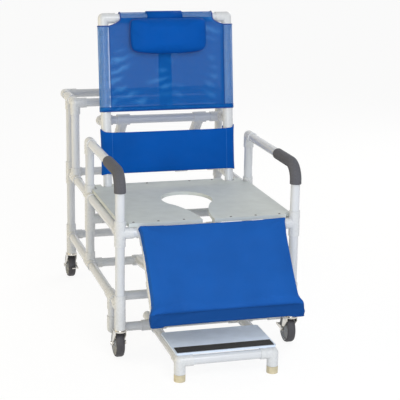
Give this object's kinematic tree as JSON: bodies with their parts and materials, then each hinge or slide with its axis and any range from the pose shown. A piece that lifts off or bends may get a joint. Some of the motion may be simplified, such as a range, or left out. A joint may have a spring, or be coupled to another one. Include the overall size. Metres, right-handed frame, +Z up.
{
  "type": "reclining shower chair",
  "caption": "White plastic-pipe reclining shower chair on locking casters, with mesh sling back, commode seat, padded leg rest and sliding footrest.",
  "frame": {"origin": "on the floor under the middle of the chair's length and width", "axes": "+Z up, -Y the way the sitter faces, +X to the right of someone looking at the front"},
  "size_m": [0.6986, 1.3599, 1.1604],
  "materials": {
    "pipe_white": "satin white pipe",
    "fitting_white": "satin moulded white",
    "foam_grey": "matt foam",
    "panel_grey": "fine-grained sheet",
    "mesh_blue": "open vinyl-coated mesh",
    "pad_blue": "soft coated cloth",
    "leg_blue": "coated cloth cover",
    "plate_grey": "grained sheet",
    "strip_dark": "gritty non-slip strip",
    "tip_tan": "matt",
    "steel": "bright plated",
    "hub_grey": "moulded",
    "tyre_grey": "matt rubber"
  },
  "bodies": {
    "frame": {"front_posts": "pipe_white", "mid_posts": "pipe_white", "push_posts": "pipe_white", "rear_posts": "pipe_white", "arm_tubes": "pipe_white", "arm_grips": "foam_grey", "arm_elbows": "fitting_white", "lower_rails": "pipe_white", "seat_rails": "pipe_white", "push_rails": "pipe_white", "low_cross_bars": "pipe_white", "seat_front_rail": "pipe_white", "back_hinge_bar": "pipe_white", "rear_seat_bar": "pipe_white", "push_bars": "pipe_white", "hanger_pipes": "pipe_white", "footrest_guides": "fitting_white", "base_fittings": "fitting_white", "seat_fittings": "fitting_white", "push_fittings": "fitting_white", "seat_panel": "panel_grey"},
    "back": {"back_posts": "pipe_white", "back_top_bar": "pipe_white", "back_elbows": "fitting_white", "back_tees": "fitting_white", "back_strut_bar": "pipe_white", "back_sling": "mesh_blue", "head_pillow": "pad_blue", "lumbar_pad": "pad_blue"},
    "strut_tube": {"strut_tubes": "pipe_white"},
    "strut_rod": {"strut_rods": "fitting_white"},
    "leg_rest": {"leg_pipes": "pipe_white", "leg_fittings": "fitting_white", "leg_pad": "leg_blue"},
    "prop_tube": {"leg_prop_tubes": "pipe_white"},
    "prop_rod": {"leg_prop_rods": "fitting_white"},
    "footrest": {"foot_pipes": "pipe_white", "foot_elbows": "fitting_white", "foot_plate": "plate_grey", "foot_strip": "strip_dark", "foot_tips": "tip_tan"},
    "fork_front_left": {"caster_fork_front_left": "steel"},
    "wheel_front_left": {"caster_hub_front_left": "hub_grey", "caster_tyre_front_left": "tyre_grey"},
    "pedal_front_left": {"caster_pedal_front_left": "steel"},
    "fork_front_right": {"caster_fork_front_right": "steel"},
    "wheel_front_right": {"caster_hub_front_right": "hub_grey", "caster_tyre_front_right": "tyre_grey"},
    "pedal_front_right": {"caster_pedal_front_right": "steel"},
    "fork_rear_left": {"caster_fork_rear_left": "steel"},
    "wheel_rear_left": {"caster_hub_rear_left": "hub_grey", "caster_tyre_rear_left": "tyre_grey"},
    "pedal_rear_left": {"caster_pedal_rear_left": "steel"},
    "fork_rear_right": {"caster_fork_rear_right": "steel"},
    "wheel_rear_right": {"caster_hub_rear_right": "hub_grey", "caster_tyre_rear_right": "tyre_grey"},
    "pedal_rear_right": {"caster_pedal_rear_right": "steel"}
  },
  "joints": [
    {"name": "back_recline", "type": "hinge", "parent": "frame", "child": "back", "pos_m": [0, 0.13, 0.3719], "axis": [-1, 0, 0], "range_deg": [0, 20]},
    {"name": "strut_top", "type": "hinge", "parent": "back", "child": "strut_tube", "pos_m": [0, 0.27759, 0.73189], "axis": [1, 0, 0], "range_deg": [0, 14]},
    {"name": "strut_foot", "type": "hinge", "parent": "frame", "child": "strut_rod", "pos_m": [0, 0.549, 0.464], "axis": [1, 0, 0], "range_deg": [-7.5, 0]},
    {"name": "leg_raise", "type": "hinge", "parent": "frame", "child": "leg_rest", "pos_m": [0, -0.415, 0.464], "axis": [-1, 0, 0], "range_deg": [0, 40]},
    {"name": "prop_swing", "type": "hinge", "parent": "frame", "child": "prop_tube", "pos_m": [0, 0.13, 0.192], "axis": [-1, 0, 0], "range_deg": [0, 9]},
    {"name": "prop_pivot", "type": "hinge", "parent": "leg_rest", "child": "prop_rod", "pos_m": [0, -0.55654, 0.28284], "axis": [1, 0, 0], "range_deg": [0, 33]},
    {"name": "footrest_slide", "type": "slide", "parent": "frame", "child": "footrest", "axis": [0, 1, 0], "range_m": [0, 0.2]},
    {"name": "swivel_front_left", "type": "hinge", "parent": "frame", "child": "fork_front_left", "pos_m": [-0.3215, -0.415, 0.112], "axis": [0, 0, 1], "continuous": true},
    {"name": "roll_front_left", "type": "hinge", "parent": "fork_front_left", "child": "wheel_front_left", "pos_m": [-0.3215, -0.385, 0.0508], "axis": [1, 0, 0], "continuous": true},
    {"name": "lock_front_left", "type": "hinge", "parent": "fork_front_left", "child": "pedal_front_left", "pos_m": [-0.3215, -0.385, 0.0508], "axis": [-1, 0, 0], "range_deg": [0, 12]},
    {"name": "swivel_front_right", "type": "hinge", "parent": "frame", "child": "fork_front_right", "pos_m": [0.3215, -0.415, 0.112], "axis": [0, 0, 1], "continuous": true},
    {"name": "roll_front_right", "type": "hinge", "parent": "fork_front_right", "child": "wheel_front_right", "pos_m": [0.3215, -0.385, 0.0508], "axis": [1, 0, 0], "continuous": true},
    {"name": "lock_front_right", "type": "hinge", "parent": "fork_front_right", "child": "pedal_front_right", "pos_m": [0.3215, -0.385, 0.0508], "axis": [-1, 0, 0], "range_deg": [0, 12]},
    {"name": "swivel_rear_left", "type": "hinge", "parent": "frame", "child": "fork_rear_left", "pos_m": [-0.3215, 0.549, 0.112], "axis": [0, 0, 1], "continuous": true},
    {"name": "roll_rear_left", "type": "hinge", "parent": "fork_rear_left", "child": "wheel_rear_left", "pos_m": [-0.3215, 0.579, 0.0508], "axis": [1, 0, 0], "continuous": true},
    {"name": "lock_rear_left", "type": "hinge", "parent": "fork_rear_left", "child": "pedal_rear_left", "pos_m": [-0.3215, 0.579, 0.0508], "axis": [1, 0, 0], "range_deg": [0, 12]},
    {"name": "swivel_rear_right", "type": "hinge", "parent": "frame", "child": "fork_rear_right", "pos_m": [0.3215, 0.549, 0.112], "axis": [0, 0, 1], "continuous": true},
    {"name": "roll_rear_right", "type": "hinge", "parent": "fork_rear_right", "child": "wheel_rear_right", "pos_m": [0.3215, 0.579, 0.0508], "axis": [1, 0, 0], "continuous": true},
    {"name": "lock_rear_right", "type": "hinge", "parent": "fork_rear_right", "child": "pedal_rear_right", "pos_m": [0.3215, 0.579, 0.0508], "axis": [1, 0, 0], "range_deg": [0, 12]}
  ],
  "couplings": [
    {"joint": "strut_top", "follows": "back_recline", "ratio": 0.658},
    {"joint": "strut_foot", "follows": "back_recline", "ratio": -0.342},
    {"joint": "prop_swing", "follows": "leg_raise", "ratio": 0.21},
    {"joint": "prop_pivot", "follows": "leg_raise", "ratio": 0.79}
  ]
}
